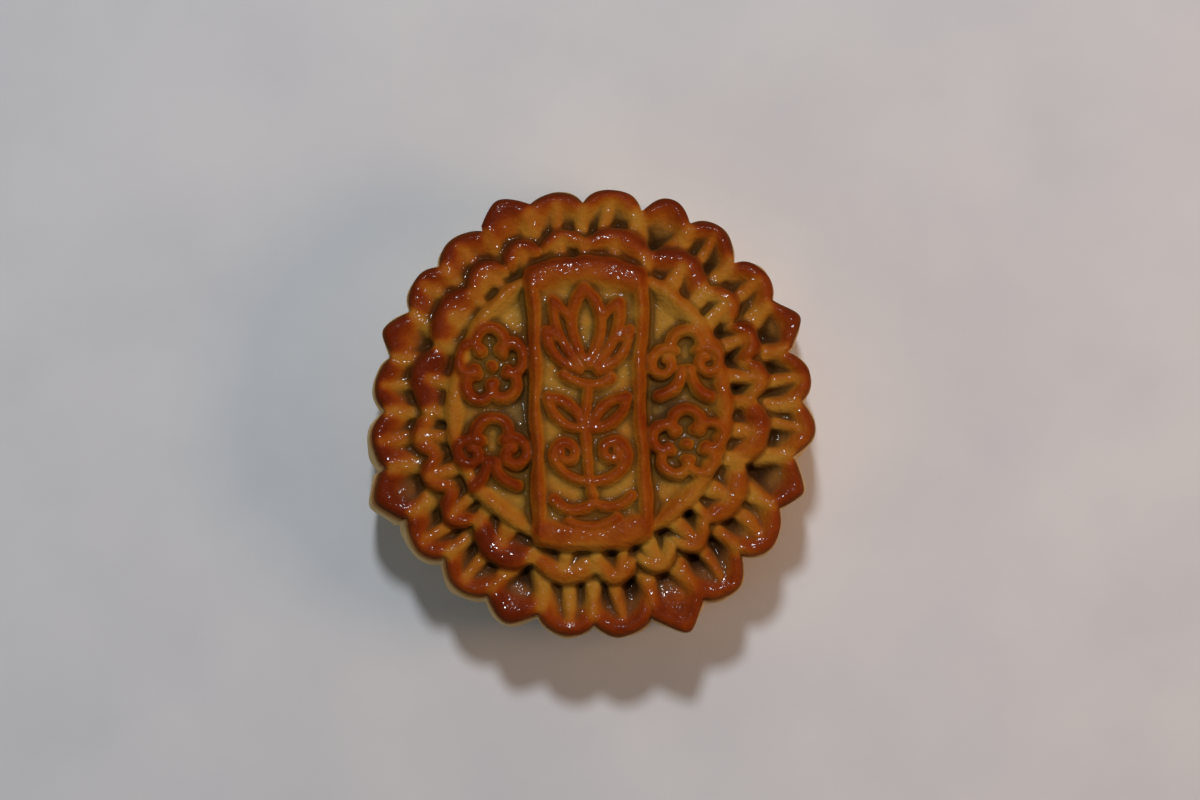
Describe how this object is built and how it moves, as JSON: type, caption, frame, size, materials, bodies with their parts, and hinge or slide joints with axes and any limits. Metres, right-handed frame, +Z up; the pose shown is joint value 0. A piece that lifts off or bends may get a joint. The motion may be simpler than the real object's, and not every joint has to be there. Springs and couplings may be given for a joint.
{
  "type": "mooncake",
  "caption": "Round baked mooncake with a scalloped side, two tiers of petals round a dished disc, and a framed lotus plaque across the top.",
  "frame": {"origin": "middle of the flat base", "axes": "+Z up through the cake, +Y along the plaque towards the top of the lotus, +X to the right of the plaque seen from above"},
  "size_m": [0.0851, 0.085, 0.034],
  "materials": {
    "crust": "baked golden crust with a glossy browned egg glaze on top"
  },
  "bodies": {
    "root": {"mooncake": "crust"}
  },
  "joints": []
}
